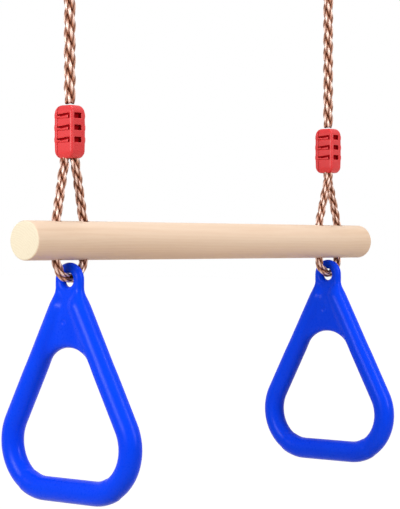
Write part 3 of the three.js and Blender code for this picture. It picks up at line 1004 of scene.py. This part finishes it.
def plastic(name, group, deep, pale, smooth, dull, specular, painted_recess_shade=None):
    """A moulded plastic. The last colour, when given, is painted shade, mixed in where the mesh marks its recesses;
    the gloss is taken down there too.
    """
    material, tree, shader = new_material(name)
    place = add(tree, "ShaderNodeTexCoord").outputs["Object"]
    skin = add(
        tree,
        "ShaderNodeGroup",
        node_tree=group,
    )
    tree.links.new(place, skin.inputs["Vector"])
    skin.inputs["Deep colour"].default_value = deep
    skin.inputs["Pale colour"].default_value = pale
    skin.inputs["Smooth"].default_value = smooth
    skin.inputs["Dull"].default_value = dull
    bump = add(tree, "ShaderNodeBump", {"Height": skin.outputs["Height"], "Strength": 0.12, "Distance": 0.0004})
    colour = skin.outputs["Colour"]
    # Painted shade in the recesses: a darker colour and less gloss where the mesh's mask is high.
    if painted_recess_shade:
        shade_mask = add(tree, "ShaderNodeAttribute", attribute_name="painted_recess_shade").outputs["Fac"]
        colour = add(tree, "ShaderNodeMix", {0: shade_mask, 6: colour, 7: painted_recess_shade}, data_type="RGBA").outputs[2]
        shine = add(tree, "ShaderNodeMapRange", {"Value": shade_mask, "To Min": specular, "To Max": 0}).outputs[0]
        tree.links.new(shine, shader.inputs["Specular IOR Level"])
    tree.links.new(colour, shader.inputs["Base Color"])
    tree.links.new(skin.outputs["Roughness"], shader.inputs["Roughness"])
    tree.links.new(bump.outputs["Normal"], shader.inputs["Normal"])
    shader.inputs["Specular IOR Level"].default_value = specular
    return material


def wood_material():
    """Pale hardwood: long growth lines along the bar, short pores, and rings and rays on the sawn ends."""
    material, tree, shader = new_material("sanded pale hardwood")
    place = add(tree, "ShaderNodeTexCoord").outputs["Object"]
    pith = (0, 0.021, bar_middle.z - 0.034)
    centred = add(
        tree,
        "ShaderNodeMapping",
        {"Vector": place, "Location": (-pith[0], -pith[1], -pith[2])},
    ).outputs["Vector"]
    stretched = add(tree, "ShaderNodeMapping", {"Vector": centred, "Scale": (0.06, 1, 1)}).outputs["Vector"]
    wander = add(tree, "ShaderNodeTexNoise", {"Vector": stretched, "Scale": 70, "Detail": 2})
    apart = add(tree, "ShaderNodeSeparateXYZ", {"Vector": stretched}).outputs
    across = add(tree, "ShaderNodeCombineXYZ", {"Y": apart["Y"], "Z": apart["Z"]}).outputs[0]
    radius = add(tree, "ShaderNodeVectorMath", {0: across}, operation="LENGTH").outputs["Value"]
    bent = add(tree, "ShaderNodeMath", {0: wander.outputs["Fac"], 1: 0.006, 2: radius}, operation="MULTIPLY_ADD")
    counted = add(tree, "ShaderNodeMath", {0: bent.outputs[0], 1: 2 * math.pi / 0.0021}, operation="MULTIPLY")
    wave = add(tree, "ShaderNodeMath", {0: counted.outputs[0]}, operation="SINE")
    growth = add(
        tree, "ShaderNodeMapRange", {"Value": wave.outputs[0], "From Min": -1, "From Max": 1}
    ).outputs[0]
    fibre_place = add(tree, "ShaderNodeMapping", {"Vector": centred, "Scale": (0.035, 1, 1)}).outputs["Vector"]
    fibre = add(
        tree, "ShaderNodeTexNoise", {"Vector": fibre_place, "Scale": 1400, "Detail": 3, "Roughness": 0.6}
    ).outputs["Fac"]
    cloud = add(tree, "ShaderNodeTexNoise", {"Vector": stretched, "Scale": 45, "Detail": 3}).outputs["Fac"]
    tone = add(tree, "ShaderNodeMath", {0: growth, 1: 0.17, 2: cloud}, operation="MULTIPLY_ADD").outputs[0]
    tone = add(tree, "ShaderNodeMath", {0: fibre, 1: 0.35, 2: tone}, operation="MULTIPLY_ADD").outputs[0]
    tone = add(tree, "ShaderNodeMapRange", {"Value": tone, "From Min": 0.4, "From Max": 1.15}).outputs[0]
    side = ramp(
        tree,
        tone,
        [(0, srgb(224, 190, 158)), (0.45, srgb(236, 207, 180)), (1, srgb(243, 218, 194))],
    )
    end_tone = add(tree, "ShaderNodeMath", {0: growth, 1: 0.22, 2: fibre}, operation="MULTIPLY_ADD").outputs[0]
    end = ramp(tree, end_tone, [(0.2, srgb(232, 218, 190)), (0.9, srgb(245, 236, 211))])
    object_x = add(tree, "ShaderNodeSeparateXYZ", {"Vector": place}).outputs["X"]
    out_at = add(tree, "ShaderNodeMath", {0: object_x}, operation="ABSOLUTE").outputs[0]
    on_end = add(
        tree,
        "ShaderNodeMapRange",
        {"Value": out_at, "From Min": bar_high.x - 0.8 * MM, "From Max": bar_high.x - 0.2 * MM},
    ).outputs[0]
    colour = add(tree, "ShaderNodeMix", {0: on_end, 6: side, 7: end}, data_type="RGBA").outputs[2]
    rough = add(
        tree, "ShaderNodeMapRange", {"Value": fibre, "To Min": 0.42, "To Max": 0.68}
    ).outputs[0]
    bump = add(tree, "ShaderNodeBump", {"Height": fibre, "Strength": 0.25, "Distance": 0.0003})
    tree.links.new(colour, shader.inputs["Base Color"])
    tree.links.new(rough, shader.inputs["Roughness"])
    tree.links.new(bump.outputs["Normal"], shader.inputs["Normal"])
    shader.inputs["Specular IOR Level"].default_value = 0.35
    return material


def rope_material():
    """Shiny copper brown filament yarn: fine filaments along each yarn, painted shade in the grooves between yarns,
    lighter yarn crests, and a painted pale sheen where the yarns' crests lie on the strands' outer sides.
    """
    material, tree, shader = new_material("copper brown filament rope")
    lay = add(tree, "ShaderNodeUVMap", uv_map="yarn").outputs["UV"]
    parts = add(tree, "ShaderNodeSeparateXYZ", {"Vector": lay}).outputs
    yarns = add(tree, "ShaderNodeMath", {0: parts["Y"], 1: YARNS * math.pi}, operation="MULTIPLY")
    crest = add(tree, "ShaderNodeMath", {0: yarns.outputs[0]}, operation="SINE")
    crest = add(tree, "ShaderNodeMath", {0: crest.outputs[0]}, operation="ABSOLUTE").outputs[0]
    filament_place = add(tree, "ShaderNodeMapping", {"Vector": lay, "Scale": (10, 60, 1)}).outputs["Vector"]
    filaments = add(
        tree, "ShaderNodeTexNoise", {"Vector": filament_place, "Scale": 1.6, "Detail": 3, "Roughness": 0.65}
    ).outputs["Fac"]
    tone = add(tree, "ShaderNodeMath", {0: filaments, 1: 0.2, 2: crest}, operation="MULTIPLY_ADD").outputs[0]
    tone = add(tree, "ShaderNodeMapRange", {"Value": tone, "From Min": 0.15, "From Max": 1.12}).outputs[0]
    # Painted shade and highlight: the colour is darkest in the grooves between yarns and lightest on the yarn crests.
    colour = ramp(
        tree,
        tone,
        [(0, srgb(94, 54, 38)), (0.45, srgb(146, 92, 66)), (1, srgb(180, 122, 94))],
    )
    # Painted highlight: a pale sheen on the yarn crests that lie outermost on each strand.
    outer = add(tree, "ShaderNodeAttribute", attribute_name="outer").outputs["Fac"]
    strand_crest_share = add(tree, "ShaderNodeMapRange", {"Value": outer, "From Min": 0.3, "From Max": 0.85}).outputs[0]
    ridge = add(tree, "ShaderNodeMapRange", {"Value": crest, "From Min": 0.42, "From Max": 0.88}).outputs[0]
    painted_sheen = add(tree, "ShaderNodeMath", {0: strand_crest_share, 1: ridge}, operation="MULTIPLY").outputs[0]
    colour = add(
        tree, "ShaderNodeMix", {0: painted_sheen, 6: colour, 7: srgb(238, 206, 192)}, data_type="RGBA"
    ).outputs[2]
    bump = add(tree, "ShaderNodeBump", {"Height": filaments, "Strength": 0.1, "Distance": 0.0002})
    rough = add(tree, "ShaderNodeMapRange", {"Value": filaments, "To Min": 0.38, "To Max": 0.44}).outputs[0]
    along = add(tree, "ShaderNodeTangent", direction_type="UV_MAP", uv_map="yarn").outputs["Tangent"]
    tree.links.new(colour, shader.inputs["Base Color"])
    tree.links.new(rough, shader.inputs["Roughness"])
    tree.links.new(bump.outputs["Normal"], shader.inputs["Normal"])
    tree.links.new(along, shader.inputs["Tangent"])
    shader.inputs["Metallic"].default_value = 0.4
    shader.inputs["Anisotropic"].default_value = 0.5
    shader.inputs["Coat Weight"].default_value = 0.25
    shader.inputs["Coat Roughness"].default_value = 0.3
    shader.inputs["Anisotropic Rotation"].default_value = 0.25
    return material


def steel_material():
    """Zinc plated wire: a cool grey metal with faint drawn lines and cloudy plating."""
    material, tree, shader = new_material("zinc plated steel")
    place = add(tree, "ShaderNodeTexCoord").outputs["Object"]
    clouds = add(tree, "ShaderNodeTexNoise", {"Vector": place, "Scale": 160, "Detail": 4}).outputs["Fac"]
    fine = add(tree, "ShaderNodeTexNoise", {"Vector": place, "Scale": 1500, "Detail": 2}).outputs["Fac"]
    colour = ramp(tree, clouds, [(0.3, srgb(134, 137, 142)), (0.7, srgb(166, 169, 173))])
    rough = add(tree, "ShaderNodeMapRange", {"Value": clouds, "To Min": 0.34, "To Max": 0.5}).outputs[0]
    bump = add(tree, "ShaderNodeBump", {"Height": fine, "Strength": 0.1, "Distance": 0.0002})
    tree.links.new(colour, shader.inputs["Base Color"])
    tree.links.new(rough, shader.inputs["Roughness"])
    tree.links.new(bump.outputs["Normal"], shader.inputs["Normal"])
    shader.inputs["Metallic"].default_value = 1
    return material


# Surroundings: a pale floor well under the handles, a white background and soft lamps
FLOOR_Z = -1.15
FLOOR_HALF = 30
BACKGROUND = 1.0
AMBIENT = 0.27
FLOOR_GLOW = 0.85


def seen_directly(tree):
    """1 for what the camera, a mirror or glass sees, 0 for light that falls on the object."""
    path = add(tree, "ShaderNodeLightPath").outputs
    both = add(tree, "ShaderNodeMath", {0: path["Is Camera Ray"], 1: path["Is Glossy Ray"]}, operation="MAXIMUM")
    return add(
        tree, "ShaderNodeMath", {0: both.outputs[0], 1: path["Is Transmission Ray"]}, operation="MAXIMUM"
    ).outputs[0]


def make_surroundings():
    bm = bmesh.new()
    bmesh.ops.create_grid(
        bm, x_segments=1, y_segments=1, size=FLOOR_HALF, matrix=Matrix.Translation((0, 0, FLOOR_Z))
    )
    floor = piece_from(bm, "floor")
    material, tree, shader = new_material("pale floor")
    shader.inputs["Base Color"].default_value = (0.62, 0.52, 0.42, 1)
    shader.inputs["Roughness"].default_value = 0.9
    glow = add(tree, "ShaderNodeMath", {0: seen_directly(tree), 1: FLOOR_GLOW}, operation="MULTIPLY")
    shader.inputs["Emission Color"].default_value = (1, 1, 1, 1)
    tree.links.new(glow.outputs[0], shader.inputs["Emission Strength"])
    floor.data.materials.append(material)

    world = bpy.data.worlds.new("studio")
    bpy.context.scene.world = world
    world.use_nodes = True
    tree = world.node_tree
    strength = add(
        tree,
        "ShaderNodeMapRange",
        {"Value": seen_directly(tree), "To Min": AMBIENT, "To Max": BACKGROUND},
    )
    background = tree.nodes["Background"]
    background.inputs["Color"].default_value = (1, 1, 1, 1)
    tree.links.new(strength.outputs[0], background.inputs["Strength"])

    aim = Vector((0, 0, bar_middle.z))
    for name, place, width, height, power in (
        ("left softbox", (-1.75, 0.2, 0.0), 0.9, 0.5, 20),
        ("right softbox", (0.2, -1.9, 0.5), 0.35, 1.3, 22),
        ("top softbox", (0.1, -0.2, 1.6), 1.2, 0.8, 18.5),
    ):
        lamp = bpy.data.lights.new(name, "AREA")
        lamp.shape = "RECTANGLE"
        lamp.size = width
        lamp.size_y = height
        lamp.energy = power
        lamp_object = bpy.data.objects.new(name, lamp)
        bpy.context.scene.collection.objects.link(lamp_object)
        lamp_object.location = place
        lamp_object.rotation_euler = (aim - Vector(place)).to_track_quat("-Z", "Y").to_euler()


skin = moulded_skin_group()
blue = plastic("moulded blue plastic", skin, srgb(0, 63, 248), srgb(0, 73, 255), 0.27, 0.38, 0.1)
# The red plastic's last colour is painted shade for the clips' slots and windows.
red = plastic("moulded red plastic", skin, srgb(216, 38, 42), srgb(226, 50, 54), 0.4, 0.48, 0.5, srgb(164, 12, 20))
make_ropes(rope_material())
make_bar(wood_material())
make_handles(blue)
make_clips(red)
make_rings(steel_material())
make_surroundings()

bpy.context.scene.view_settings.view_transform = "Standard"
